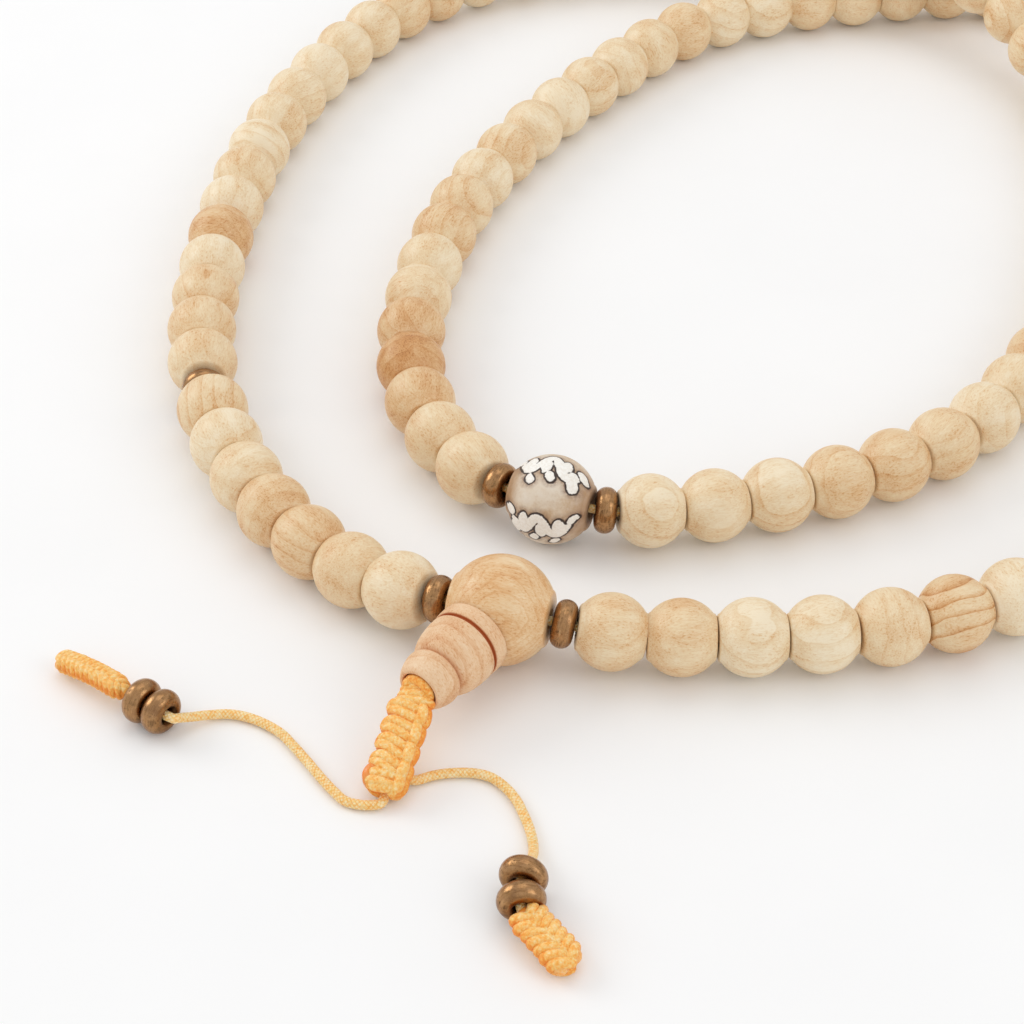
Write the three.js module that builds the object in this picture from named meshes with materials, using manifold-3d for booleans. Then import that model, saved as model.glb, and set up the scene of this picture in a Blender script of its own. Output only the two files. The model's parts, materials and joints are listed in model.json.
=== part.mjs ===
// A 108-bead wooden mala laid out as a double loop: the strand, the guru bead with its tower bead,
// the carved marker bead, bronze spacers, and the knotted cord tails.
// Millimetres, +Z up. The routes below are laid out from the guru bead's place on the floor,
// and the finished group is moved so that the strand stands centred over the origin.
import * as THREE from "three";
import { mergeVertices } from "three/addons/utils/BufferGeometryUtils.js";
import Module from "manifold-3d";

const wasm = await Module();
wasm.setup();

// ---- driving dimensions ----
const beadDiameter = 10;
const beadLength = 8.1;
const beadBore = 2.3;
const beadSides = 10;
const rowSides = 8;
const beadsPerHalf = 54;
const singlesAtEachEnd = 7;
const beadsPerRow = 8;
const shortPitch = 8.1; // the first seven beads are a little shorter than the rest
const closeBeads = 5;
const closePitch = 8.15; // so are the five beads after the first counting spacer
const openPitch = 8.75; // the last seven beads of each half sit further apart
const guruDiameter = 14;
const guruHalfPitch = 6.5;
const carvedDiameter = 12;
const carvedLength = 11;
const carvedHalfPitch = 5.9;
const spacerDiameter = 6.2;
const spacerLength = 2.9;
const spacerPitch = 3.2;
const spacerBore = 2.1;
const tailSpacerDiameter = 5.7;
const cordDiameter = 1.2;
const stemDiameter = 1.7; // the two strand ends side by side
const thirdHoleDiameter = 4.4;
const seatGap = 0.3;
const knotWidth = 5.4;
const knotHeight = 3.4;
const knotGrip = 6; // how far the cord from the tower bead runs into the sliding knot
const knotBore = 2.4;
const knotBareCord = 0.8; // the cord seen between the tower bead and the knot
const tailEndHeight = 2.6;
const tailEndWidths = { left: 3.2, right: 4.3 };
const tailEndBore = 1.9;

// ---- layout: points along the cord's centre line, x and y on the floor, z up ----
const guruCentre = new THREE.Vector3(0, -0.3, 7);
const carvedCentre = new THREE.Vector3(6.3, 21.5, 6.2);

// From the guru bead out to the left, over the top, over the other half, and in to the marker bead.
const firstHalfRoute = [
  [-8.2, 2.2, 6.6], [-12.6, 4.9, 5.4], [-18.9, 8.9, 5], [-29.5, 20.3, 5], [-37.4, 34.7, 5],
  [-42.7, 53.3, 5], [-44, 70, 5], [-42.5, 94.3, 5], [-37.6, 120.3, 5], [-27.8, 144.7, 5],
  [-13.5, 165, 5.05], [2.5, 174.8, 5.5], [20.5, 178.4, 8], [40, 176.2, 13], [57.5, 170.2, 15.5],
  [70.5, 163.2, 15.6], [80.5, 156.2, 13.6], [87.4, 147.8, 11], [91.2, 139, 8], [93, 126.5, 5.6],
  [93, 109, 5.05], [90, 89.5, 5], [83.8, 69.3, 5], [74.4, 50.8, 5], [61.2, 35.9, 5], [45.6, 27.4, 5],
  [28.3, 22.3, 5], [19.4, 20.6, 5.2], [13.8, 20.2, 5.9],
];

// From the marker bead up the inside, under the other half, round the right and back to the guru bead.
const secondHalfRoute = [
  [-0.9, 25.8, 5.9], [-4.6, 30.4, 5.2], [-9, 37.5, 5], [-13, 51.8, 5], [-12.7, 69, 5], [-6.3, 96.2, 5],
  [5, 118.9, 5], [19.7, 139.3, 5], [32.8, 153.3, 5], [48, 160.9, 5], [65.5, 165.1, 5], [83.5, 167.4, 5],
  [101, 164.5, 5], [115.5, 154, 5], [124.5, 137, 5], [128, 115, 5], [127, 90, 5], [121.2, 65, 5],
  [110.9, 43, 5], [96.6, 24.7, 5], [81, 11.9, 5], [65, 4.3, 5], [48.1, -1.5, 5], [30.9, -3.2, 5],
  [13.8, -2.9, 5.3], [7.8, -2.3, 6.5],
];

// The tower bead's mouth and the sliding knot's two ends.
const towerMouth = new THREE.Vector3(-9.77, -14.35, 6.75);
const knotStart = new THREE.Vector3(-10.4, -15.95, 5.75);
const knotEnd = new THREE.Vector3(-13.25, -26.1, 1.78);

// The two tails, from the knot to the hidden end inside each braided tail end.
const leftTailRoute = [
  [-13.9, -26.95, 0.74], [-15.0, -27.2, 0.66], [-16.6, -27.1, 0.66], [-18.2, -26.5, 0.66], [-19.5, -25.1, 0.66],
  [-21.3, -22.7, 0.66], [-23.2, -19.9, 0.66], [-25.0, -17.4, 0.66], [-26.5, -15.5, 0.66], [-28.7, -13.8, 0.66],
  [-30.9, -12.7, 0.66], [-33.1, -12.2, 0.66], [-35.4, -12.5, 0.82], [-37.4, -13.5, 1.5], [-38.8, -14.6, 2.4],
  [-39.4, -15.15, 2.88], [-44.9, -11.1, 2.88], [-47.4, -9.0, 2.42],
];
const rightTailRoute = [
  [-10.2, -23.3, 0.72], [-8.2, -22.55, 0.66], [-6.6, -22.15, 0.66], [-5.0, -22.0, 0.66], [-3.0, -22.1, 0.66],
  [-1.2, -22.7, 0.66], [0.3, -24.0, 0.66], [1.8, -26.2, 0.66], [2.8, -28.8, 0.66], [3.5, -31.2, 0.66],
  [3.85, -33.6, 0.8], [3.8, -35.6, 1.45], [3.45, -37.3, 2.4], [3.2, -38.2, 2.95], [2.25, -41.85, 2.95],
  [2.6, -45.2, 2.82], [4.0, -46.9, 2.45],
];
const leftTailSpacerCentres = [[-41.0, -13.97, 2.88], [-43.5, -12.13, 2.88]];
const rightTailSpacerCentres = [[2.7, -40.1, 2.95], [2.43, -43.55, 2.88]];
const leftTailEnd = [[-45.15, -10.75, 2.7], [-55.0, -3.35, 1.5]];
const rightTailEnd = [[3.18, -45.84, 2.65], [8.0, -51.9, 1.5]];

// ---- curves and frames ----
// A cord pulled straight through one bead after the next: one straight stretch from point to point.
class ThreadedLine extends THREE.Curve {
  constructor(points) {
    super();
    this.points = points;
  }

  getPoint(t, target = new THREE.Vector3()) {
    const place = t * (this.points.length - 1);
    const stretch = Math.min(Math.floor(place), this.points.length - 2);
    return target.lerpVectors(this.points[stretch], this.points[stretch + 1], place - stretch);
  }

  getUtoTmapping(u) {
    return u;
  }
}

const vector = ([x, y, z]) => new THREE.Vector3(x, y, z);

// Turns a piece made round its Y axis so that Y runs along the tangent and Z stays as upright as it can.
function frameAlong(tangent) {
  const along = tangent.clone().normalize();
  const side = new THREE.Vector3().crossVectors(along, new THREE.Vector3(0, 0, 1)).normalize();
  const up = new THREE.Vector3().crossVectors(side, along);
  return new THREE.Matrix4().makeBasis(side, along, up);
}

function meshAlong(name, geometry, material, start, end, centre = start.clone().lerp(end, 0.5)) {
  const mesh = new THREE.Mesh(geometry, material);
  mesh.name = name;
  mesh.quaternion.setFromRotationMatrix(frameAlong(end.clone().sub(start)));
  mesh.position.copy(centre);
  return mesh;
}

// The pieces of one half of the strand, and the points on the cord where one piece meets the next.
function threadHalf(from, route, to, pieces, endPitches) {
  const curve = new THREE.CatmullRomCurve3([from, ...route.map(vector), to], false, "centripetal");
  curve.arcLengthDivisions = 4000;
  const length = curve.getLength();
  const stated = pieces.reduce((sum, piece) => sum + (piece.pitch ?? 0), endPitches[0] + endPitches[1]);
  const freePitch = (length - stated) / pieces.filter((piece) => piece.pitch === undefined).length;
  let reached = endPitches[0];
  const joints = [curve.getPointAt(reached / length)];
  for (const piece of pieces) {
    reached += piece.pitch ?? freePitch;
    joints.push(curve.getPointAt(reached / length));
  }
  return { pieces, joints, pitch: freePitch };
}

// ---- shapes ----
// Turns a closed outline of [radius, height] points round the Y axis, a flat side facing down and up.
function turned(outline, sides) {
  const points = outline.map(([radius, height]) => new THREE.Vector2(radius, height));
  points.push(points[0].clone());
  return new THREE.LatheGeometry(points, sides, Math.PI / sides);
}

// The corner radius that gives a turned piece its stated size across the flats.
const acrossFlats = (diameter, sides) => diameter / 2 / Math.cos(Math.PI / sides);

function beadShape(diameter, length, bore, sides) {
  const outer = acrossFlats(diameter, sides);
  const half = length / 2;
  return turned(
    [[bore / 2, -half], [outer * 0.68, -half * 0.84], [outer, -half * 0.33],
      [outer, half * 0.33], [outer * 0.68, half * 0.84], [bore / 2, half]],
    sides,
  );
}

function saucerShape(diameter, bore) {
  const sides = 10;
  const outer = acrossFlats(diameter, sides);
  const half = spacerLength / 2;
  return turned(
    [[bore / 2, -half], [outer * 0.62, -half * 0.84], [outer, -half * 0.3],
      [outer, half * 0.3], [outer * 0.62, half * 0.84], [bore / 2, half]],
    sides,
  );
}

// A row of beads in one piece, joined by thin necks at their bores and bent along the cord.
function beadRowShape(joints) {
  const count = joints.length - 1;
  const outer = acrossFlats(beadDiameter, rowSides);
  const pitch = 1; // the row is turned at one unit to a bead, and bent to its real length below
  const endInset = 0.035;
  const shoulder = 0.34;
  const outline = [[beadBore / 2, endInset], [1.75, endInset]];
  for (let bead = 0; bead < count; bead++) {
    const middle = (bead + 0.5) * pitch;
    outline.push([outer * 0.78, middle - shoulder], [outer, middle], [outer * 0.78, middle + shoulder]);
    if (bead < count - 1) outline.push([1.75, middle + 0.5]);
  }
  outline.push([1.75, count - endInset], [beadBore / 2, count - endInset]);
  for (let neck = count - 1; neck > 0; neck--) outline.push([beadBore / 2, neck]);
  return bentAlong(turned(outline, rowSides), new ThreadedLine(joints), count);
}

function bentAlong(geometry, line, length) {
  const position = geometry.getAttribute("position");
  for (let i = 0; i < position.count; i++) {
    const t = position.getY(i) / length;
    const offset = new THREE.Vector3(position.getX(i), 0, position.getZ(i));
    offset.applyMatrix4(frameAlong(line.getTangent(t))).add(line.getPoint(t));
    position.setXYZ(i, offset.x, offset.y, offset.z);
  }
  geometry.computeVertexNormals();
  return geometry;
}

function cordShape(points, diameter, sides) {
  const ring = [];
  for (let i = 0; i < sides; i++) {
    const angle = (2 * Math.PI * i) / sides;
    ring.push(new THREE.Vector2(Math.cos(angle), Math.sin(angle)).multiplyScalar(diameter / 2));
  }
  return new THREE.ExtrudeGeometry(new THREE.Shape(ring), {
    steps: points.length - 1,
    extrudePath: new ThreadedLine(points),
  });
}

function asSolid(geometry) {
  const bare = geometry.clone();
  bare.deleteAttribute("normal");
  bare.deleteAttribute("uv");
  const merged = mergeVertices(bare, 1e-4);
  return new wasm.Manifold(
    new wasm.Mesh({
      numProp: 3,
      vertProperties: new Float32Array(merged.getAttribute("position").array),
      triVerts: new Uint32Array(merged.index.array),
    }),
  );
}

function asGeometry(solid) {
  const made = solid.getMesh();
  const geometry = new THREE.BufferGeometry();
  geometry.setAttribute("position", new THREE.BufferAttribute(made.vertProperties, 3));
  geometry.setIndex(new THREE.BufferAttribute(made.triVerts, 1));
  geometry.computeVertexNormals();
  return geometry;
}

// The guru bead: a squat ball with a straight bore, and a wider third hole that meets it from the side.
function guruShape(boreAxis, thirdHoleAxis) {
  const sides = 16;
  const outer = acrossFlats(guruDiameter, sides);
  const half = guruHalfPitch - 0.2;
  const ball = turned(
    [[beadBore / 2, -half], [outer * 0.5, -half * 0.93], [outer * 0.84, -half * 0.58], [outer, -half * 0.14],
      [outer, half * 0.14], [outer * 0.84, half * 0.58], [outer * 0.5, half * 0.93], [beadBore / 2, half]],
    sides,
  ).applyMatrix4(frameAlong(boreAxis));
  const hole = new THREE.CylinderGeometry(thirdHoleDiameter / 2, thirdHoleDiameter / 2, guruDiameter, 12)
    .translate(0, guruDiameter / 2, 0)
    .applyMatrix4(frameAlong(thirdHoleAxis));
  return asGeometry(asSolid(ball).subtract(asSolid(hole)));
}

// The tower bead, turned about the line from the guru bead's centre: a seat hollowed to the guru bead,
// a collar, a groove, a barrel, a waist and a small nozzle.
function towerShape(mouth) {
  const bore = 1.4;
  const seat = guruDiameter / 2 + seatGap + 0.15;
  const onSeat = (radius) => [radius, Math.sqrt(seat * seat - radius * radius)];
  return turned(
    [onSeat(bore), onSeat(3.0), onSeat(4.3), [4.7, 5.95], [4.85, 7.55], [4.4, 7.65], [4.4, 8.05], [4.75, 8.15],
      [4.75, 9.6], [4.45, 11.2], [4.05, 12.4], [3.5, 13.2], [3.75, 14.3], [3.55, 15.6], [2.85, mouth],
      [bore, mouth]],
    12,
  );
}

// A knotted sinnet in plain form: a soft-cornered bar with a round bore for the cords it is tied on.
function sinnetShape(width, height, length, bore) {
  const corner = height * 0.35;
  const x = width / 2;
  const y = height / 2;
  const outline = new THREE.Shape([
    new THREE.Vector2(-x, -y + corner), new THREE.Vector2(-x + corner, -y),
    new THREE.Vector2(x - corner, -y), new THREE.Vector2(x, -y + corner),
    new THREE.Vector2(x, y - corner), new THREE.Vector2(x - corner, y),
    new THREE.Vector2(-x + corner, y), new THREE.Vector2(-x, y - corner),
  ]);
  outline.holes.push(new THREE.Path().absarc(0, 0, bore / 2, 0, 2 * Math.PI, true));
  return new THREE.ExtrudeGeometry(outline, { depth: length, bevelEnabled: false, curveSegments: 8 })
    .translate(0, 0, -length / 2)
    .rotateX(-Math.PI / 2);
}

// ---- materials ----
function finish(colour, roughness, metalness = 0) {
  return new THREE.MeshStandardMaterial({ color: colour, roughness, metalness });
}

const beadWood = finish(0xe8cfa2, 0.42);
const guruWood = finish(0xd9b382, 0.4);
const towerWood = finish(0xdcb086, 0.6);
const carvedBone = finish(0xa59483, 0.5);
const bronze = finish(0x8a6a3c, 0.38, 1);
const yellowCord = finish(0xf5b74e, 0.7);

// ---- assembly ----
const padded = (number) => String(number).padStart(3, "0");

function beadRun(first, last, pitch) {
  const run = [];
  for (let number = first; number <= last; number++) run.push({ bead: number, pitch });
  return run;
}

const spacerPiece = (name) => ({ spacer: name, pitch: spacerPitch });
const total = 2 * beadsPerHalf;

const firstHalf = threadHalf(
  guruCentre, firstHalfRoute, carvedCentre,
  [
    spacerPiece("spacer_guru_left"),
    ...beadRun(1, singlesAtEachEnd, shortPitch),
    spacerPiece("spacer_seventh_left"),
    ...beadRun(singlesAtEachEnd + 1, singlesAtEachEnd + closeBeads, closePitch),
    ...beadRun(singlesAtEachEnd + closeBeads + 1, beadsPerHalf - singlesAtEachEnd),
    ...beadRun(beadsPerHalf - singlesAtEachEnd + 1, beadsPerHalf, openPitch),
    spacerPiece("spacer_marker_right"),
  ],
  [guruHalfPitch, carvedHalfPitch],
);
const secondHalf = threadHalf(
  carvedCentre, secondHalfRoute, guruCentre,
  [
    spacerPiece("spacer_marker_left"),
    ...beadRun(beadsPerHalf + 1, total - singlesAtEachEnd),
    spacerPiece("spacer_seventh_right"),
    ...beadRun(total - singlesAtEachEnd + 1, total, openPitch),
    spacerPiece("spacer_guru_right"),
  ],
  [carvedHalfPitch, guruHalfPitch],
);

// Beads near the guru bead and the marker bead stand alone; the rest are rows of beads in one piece.
function standsAlone(number) {
  const inHalf = number > beadsPerHalf ? total + 1 - number : number;
  return inHalf <= singlesAtEachEnd || inHalf > beadsPerHalf - singlesAtEachEnd;
}

function addHalf(group, half) {
  const { pieces, joints } = half;
  let rowStart = -1;
  pieces.forEach((piece, i) => {
    if (piece.spacer) {
      const saucer = saucerShape(spacerDiameter, spacerBore);
      group.add(meshAlong(piece.spacer, saucer, bronze, joints[i], joints[i + 1]));
    } else if (standsAlone(piece.bead)) {
      const length = piece.pitch ? piece.pitch - (half.pitch - beadLength) : beadLength;
      const bead = beadShape(beadDiameter, length, beadBore, beadSides);
      group.add(meshAlong("bead_" + padded(piece.bead), bead, beadWood, joints[i], joints[i + 1]));
    } else {
      if (rowStart < 0) rowStart = i;
      if (i - rowStart + 1 === beadsPerRow) {
        const row = new THREE.Mesh(beadRowShape(joints.slice(rowStart, i + 2)), beadWood);
        row.name = "beads_" + padded(pieces[rowStart].bead) + "_" + padded(piece.bead);
        group.add(row);
        rowStart = -1;
      }
    }
  });
}

function addGuruAndTower(group, left, right) {
  const axis = left.clone().sub(right);
  const towards = towerMouth.clone().sub(guruCentre);
  const guru = new THREE.Mesh(guruShape(axis, towards), guruWood);
  guru.name = "guru_bead";
  guru.position.copy(guruCentre);
  group.add(guru);
  const tower = towerShape(towards.length());
  group.add(meshAlong("tower_bead", tower, towerWood, guruCentre, towerMouth, guruCentre));
  const along = towards.clone().normalize();
  const inGuru = guruCentre.clone().addScaledVector(along, 2.2);
  const atMouth = towerMouth.clone().addScaledVector(along, -0.1);
  addCord(group, "tower_cord", [inGuru, atMouth], stemDiameter, 8);
}

function addCord(group, name, points, diameter, sides) {
  const cord = new THREE.Mesh(cordShape(points, diameter, sides), yellowCord);
  cord.name = name;
  group.add(cord);
}

// The sliding knot, and the stretch of cord that it grips and slides along.
function addKnot(group) {
  const along = knotEnd.clone().sub(knotStart).normalize();
  const bareStart = knotStart.clone().addScaledVector(along, -knotBareCord);
  const gripped = knotStart.clone().addScaledVector(along, knotGrip);
  addCord(group, "knot_cord", [bareStart, gripped], stemDiameter, 8);
  const knot = sinnetShape(knotWidth, knotHeight, knotStart.distanceTo(knotEnd), knotBore);
  group.add(meshAlong("sliding_knot", knot, yellowCord, knotStart, knotEnd));
}

function addStrandCord(group, left, right) {
  const insideGuru = 2.0;
  const towardsLeft = left.clone().sub(right).normalize();
  const start = guruCentre.clone().addScaledVector(towardsLeft, insideGuru);
  const end = guruCentre.clone().addScaledVector(towardsLeft, -insideGuru);
  addCord(group, "strand_cord", [start, ...firstHalf.joints, ...secondHalf.joints, end], cordDiameter, 6);
}

function addTail(group, side, route, spacerCentres, end) {
  const points = route.map(vector);
  addCord(group, "tail_cord_" + side, points, cordDiameter, 8);
  ["inner", "outer"].forEach((place, i) => {
    const centre = vector(spacerCentres[i]);
    const nearest = points.findIndex((p, k) => k > 0 && onStretch(points[k - 1], p, centre));
    const saucer = saucerShape(tailSpacerDiameter, spacerBore);
    const name = "tail_spacer_" + side + "_" + place;
    group.add(meshAlong(name, saucer, bronze, points[nearest - 1], points[nearest], centre));
  });
  const [from, to] = end.map(vector);
  const sinnet = sinnetShape(tailEndWidths[side], tailEndHeight, from.distanceTo(to), tailEndBore);
  group.add(meshAlong("tail_end_" + side, sinnet, yellowCord, from, to));
}

function onStretch(a, b, point) {
  const closest = new THREE.Line3(a, b).closestPointToPoint(point, true, new THREE.Vector3());
  return closest.distanceTo(point) < 0.25;
}

const mala = new THREE.Group();
const [guruLeft] = firstHalf.joints;
const guruRight = secondHalf.joints.at(-1);
addHalf(mala, firstHalf);
addHalf(mala, secondHalf);
const carved = beadShape(carvedDiameter, carvedLength, beadBore, 14);
mala.add(meshAlong("marker_bead", carved, carvedBone, firstHalf.joints.at(-1), secondHalf.joints[0]));
addGuruAndTower(mala, guruLeft, guruRight);
addStrandCord(mala, guruLeft, guruRight);
addKnot(mala);

// The strand and its beads, without the tails, stand centred over the origin with the floor at Z = 0.
mala.updateMatrixWorld(true);
const strandBox = new THREE.Box3().setFromObject(mala, true);
addTail(mala, "left", leftTailRoute, leftTailSpacerCentres, leftTailEnd);
addTail(mala, "right", rightTailRoute, rightTailSpacerCentres, rightTailEnd);
const middle = strandBox.getCenter(new THREE.Vector3());
mala.children.forEach((child) => child.position.sub(new THREE.Vector3(middle.x, middle.y, strandBox.min.z)));

export default mala;
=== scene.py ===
"""A wooden mala laid out as a double loop, in Blender: turned and grained beads, antique bronze
saucers, an inlaid marker bead, and the braided cord with its sliding knot and two tails."""
import json
import math

import bmesh
import bpy
import numpy as np
from mathutils import Matrix


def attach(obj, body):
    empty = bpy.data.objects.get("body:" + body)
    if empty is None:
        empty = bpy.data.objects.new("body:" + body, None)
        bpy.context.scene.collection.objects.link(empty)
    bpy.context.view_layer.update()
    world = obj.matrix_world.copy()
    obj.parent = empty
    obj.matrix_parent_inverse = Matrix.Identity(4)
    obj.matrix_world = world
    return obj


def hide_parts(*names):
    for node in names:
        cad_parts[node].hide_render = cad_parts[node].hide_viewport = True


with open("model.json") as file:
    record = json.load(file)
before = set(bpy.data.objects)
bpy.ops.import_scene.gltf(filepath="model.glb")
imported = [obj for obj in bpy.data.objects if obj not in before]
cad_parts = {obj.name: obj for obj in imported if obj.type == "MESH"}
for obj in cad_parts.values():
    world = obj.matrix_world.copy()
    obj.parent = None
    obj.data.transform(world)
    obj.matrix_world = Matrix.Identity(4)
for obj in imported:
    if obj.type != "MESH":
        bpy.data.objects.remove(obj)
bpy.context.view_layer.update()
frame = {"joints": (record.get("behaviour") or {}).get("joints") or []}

MM = 0.001
UP = np.array([0.0, 0.0, 1.0])
QUARTER = math.pi / 2
TURN = 2 * math.pi
chance = np.random.default_rng(108)

# ---- sizes in millimetres, as the CAD source has them ----
BEAD_RADIUS = 5.0
SHORT_PITCH = 8.1
CLOSE_BEADS = 5
CLOSE_PITCH = 8.15
OPEN_PITCH = 8.75
GURU_RADIUS = 7.0
GURU_HALF_PITCH = 6.5
MARKER_RADIUS = 6.0
MARKER_HALF_PITCH = 5.9
SPACER_RADIUS = 3.1
TAIL_SPACER_RADIUS = 2.85
SPACER_HALF = 1.45
SPACER_PITCH = 3.2
BORE = 1.15
SPACER_BORE = 1.05
THIRD_HOLE = 2.2
CORD_RADIUS = 0.6
WEAVE_PITCH = 0.52  # how far along the cord one strand of its weave takes to cross the next
BEADS_PER_HALF = 54
SINGLES = 7
ROW = 8

# ---- the layout, in millimetres from the guru bead's place on the floor ----
GURU = np.array([0, -0.3, 7])
MARKER = np.array([6.3, 21.5, 6.2])
FIRST_HALF = [
    (-8.2, 2.2, 6.6), (-12.6, 4.9, 5.4), (-18.9, 8.9, 5), (-29.5, 20.3, 5), (-37.4, 34.7, 5),
    (-42.7, 53.3, 5), (-44, 70, 5), (-42.5, 94.3, 5), (-37.6, 120.3, 5), (-27.8, 144.7, 5),
    (-13.5, 165, 5.05), (2.5, 174.8, 5.5), (20.5, 178.4, 8), (40, 176.2, 13), (57.5, 170.2, 15.5),
    (70.5, 163.2, 15.6), (80.5, 156.2, 13.6), (87.4, 147.8, 11), (91.2, 139, 8), (93, 126.5, 5.6),
    (93, 109, 5.05), (90, 89.5, 5), (83.8, 69.3, 5), (74.4, 50.8, 5), (61.2, 35.9, 5), (45.6, 27.4, 5),
    (28.3, 22.3, 5), (19.4, 20.6, 5.2), (13.8, 20.2, 5.9),
]
SECOND_HALF = [
    (-0.9, 25.8, 5.9), (-4.6, 30.4, 5.2), (-9, 37.5, 5), (-13, 51.8, 5), (-12.7, 69, 5), (-6.3, 96.2, 5),
    (5, 118.9, 5), (19.7, 139.3, 5), (32.8, 153.3, 5), (48, 160.9, 5), (65.5, 165.1, 5), (83.5, 167.4, 5),
    (101, 164.5, 5), (115.5, 154, 5), (124.5, 137, 5), (128, 115, 5), (127, 90, 5), (121.2, 65, 5),
    (110.9, 43, 5), (96.6, 24.7, 5), (81, 11.9, 5), (65, 4.3, 5), (48.1, -1.5, 5), (30.9, -3.2, 5),
    (13.8, -2.9, 5.3), (7.8, -2.3, 6.5),
]
TOWER_MOUTH = np.array([-9.77, -14.35, 6.75])
KNOT_START = np.array([-10.4, -15.95, 5.75])
KNOT_END = np.array([-13.25, -26.1, 1.78])
LEFT_TAIL = [
    (-13.9, -26.95, 0.74), (-15.0, -27.2, 0.66), (-16.6, -27.1, 0.66), (-18.2, -26.5, 0.66),
    (-19.5, -25.1, 0.66), (-21.3, -22.7, 0.66), (-23.2, -19.9, 0.66), (-25.0, -17.4, 0.66),
    (-26.5, -15.5, 0.66), (-28.7, -13.8, 0.66), (-30.9, -12.7, 0.66), (-33.1, -12.2, 0.66),
    (-35.4, -12.5, 0.82), (-37.4, -13.5, 1.5), (-38.8, -14.6, 2.4), (-39.4, -15.15, 2.88),
    (-44.9, -11.1, 2.88), (-47.4, -9.0, 2.42),
]
RIGHT_TAIL = [
    (-10.2, -23.3, 0.72), (-8.2, -22.55, 0.66), (-6.6, -22.15, 0.66), (-5.0, -22.0, 0.66),
    (-3.0, -22.1, 0.66), (-1.2, -22.7, 0.66), (0.3, -24.0, 0.66), (1.8, -26.2, 0.66), (2.8, -28.8, 0.66),
    (3.5, -31.2, 0.66), (3.85, -33.6, 0.8), (3.8, -35.6, 1.45), (3.45, -37.3, 2.4), (3.2, -38.2, 2.95),
    (2.25, -41.85, 2.95), (2.6, -45.2, 2.82), (4.0, -46.9, 2.45),
]
TAIL_SPACERS = {  # centre, then two points that give its direction
    "left_inner": ((-41.0, -13.97, 2.88), (-39.4, -15.15, 2.88), (-44.9, -11.1, 2.88)),
    "left_outer": ((-43.5, -12.13, 2.88), (-39.4, -15.15, 2.88), (-44.9, -11.1, 2.88)),
    "right_inner": ((2.7, -40.1, 2.95), (3.2, -38.2, 2.95), (2.25, -41.85, 2.95)),
    "right_outer": ((2.43, -43.55, 2.88), (2.25, -41.85, 2.95), (2.6, -45.2, 2.82)),
}
LEFT_END = np.array([(-45.15, -10.75, 2.7), (-55.0, -3.35, 1.5)])
RIGHT_END = np.array([(3.18, -45.84, 2.65), (8.0, -51.9, 1.5)])

def unit(v):
    v = np.asarray(v, float)
    return v / np.linalg.norm(v)


# The guru bead turns the tower about its own centre, so that joint says where the layout stands.
swing = next(joint for joint in frame["joints"] if joint["name"] == "tower_swing")
PLACE = np.array(swing["pos_m"]) / MM - GURU
tower_axis = unit(TOWER_MOUTH - GURU)
knot_axis = unit(KNOT_END - KNOT_START)


def in_frame(points):
    """Layout millimetres to the part's own metres."""
    return (np.asarray(points, float) + PLACE) * MM


# ---- curves ----
def spline(points, per_stretch):
    """A centripetal Catmull-Rom curve through the points, as many steps to each stretch."""
    p = np.asarray(points, float)
    ends = np.vstack([2 * p[0] - p[1], p, 2 * p[-1] - p[-2]])
    t = np.linspace(0, 1, per_stretch, endpoint=False)[:, None]
    made = []
    for before, start, end, after in zip(ends, ends[1:], ends[2:], ends[3:]):
        d0, d1, d2 = (np.linalg.norm(v) ** 0.5 for v in (start - before, end - start, after - end))
        leave = ((start - before) / d0 - (end - before) / (d0 + d1) + (end - start) / d1) * d1
        arrive = ((end - start) / d1 - (after - start) / (d1 + d2) + (after - end) / d2) * d1
        square = 3 * (end - start) - 2 * leave - arrive
        cube = 2 * (start - end) + leave + arrive
        made.append(start + leave * t + square * t**2 + cube * t**3)
    return np.vstack([*made, p[-1:]])


def distances(line):
    """How far along the line each of its points is."""
    steps = np.linalg.norm(np.diff(line, axis=0), axis=1)
    return np.concatenate([[0], np.cumsum(steps)])


def at_distance(line, wanted):
    gone = distances(line)
    return np.stack([np.interp(wanted, gone, line[:, k]) for k in range(3)], -1)


def thread_half(start, route, end, pitches, end_pitches):
    """Where the pieces of one half meet on the cord. Each pitch of None gets an equal share of the rest."""
    line = spline([start, *route, end], 200)
    stated = sum(end_pitches) + sum(p for p in pitches if p)
    free = (distances(line)[-1] - stated) / pitches.count(None)
    steps = [free if p is None else p for p in pitches]
    return at_distance(line, end_pitches[0] + np.concatenate([[0], np.cumsum(steps)]))


def frame_along(direction):
    """Columns: across, up and along, for a piece made with its own Z along the cord."""
    along = unit(direction)
    across = unit(np.cross(along, UP))
    return np.stack([across, np.cross(across, along), along], 1)


def flat_frame(direction):
    """The same for a piece made lying down, with its own Y along the cord."""
    return frame_along(direction)[:, [0, 2, 1]]


# ---- shapes: a dict of verts in millimetres, faces, and values held at each vertex ----
def shape(verts, faces, **values):
    return {"verts": np.asarray(verts, float), "faces": np.asarray(faces), "values": values}


def grid_faces(rows, columns):
    """Quads over a grid of vertices whose columns close into a ring."""
    row, column = np.meshgrid(np.arange(rows - 1), np.arange(columns), indexing="ij")
    after = (column + 1) % columns
    low, high = row * columns, (row + 1) * columns
    return np.stack([low + column, low + after, high + after, high + column], -1).reshape(-1, 4)


def turned(outline, sides):
    """A closed outline of (radius, height) turned round Z: the last row of faces joins the first."""
    outline = np.asarray(outline, float)
    angle = np.linspace(0, TURN, sides, endpoint=False)
    radius = outline[:, :1]
    verts = np.stack([radius * np.cos(angle), radius * np.sin(angle), outline[:, 1:] + 0 * angle], -1)
    faces = grid_faces(len(outline) + 1, sides) % (len(outline) * sides)
    return shape(verts.reshape(-1, 3), faces)


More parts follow.
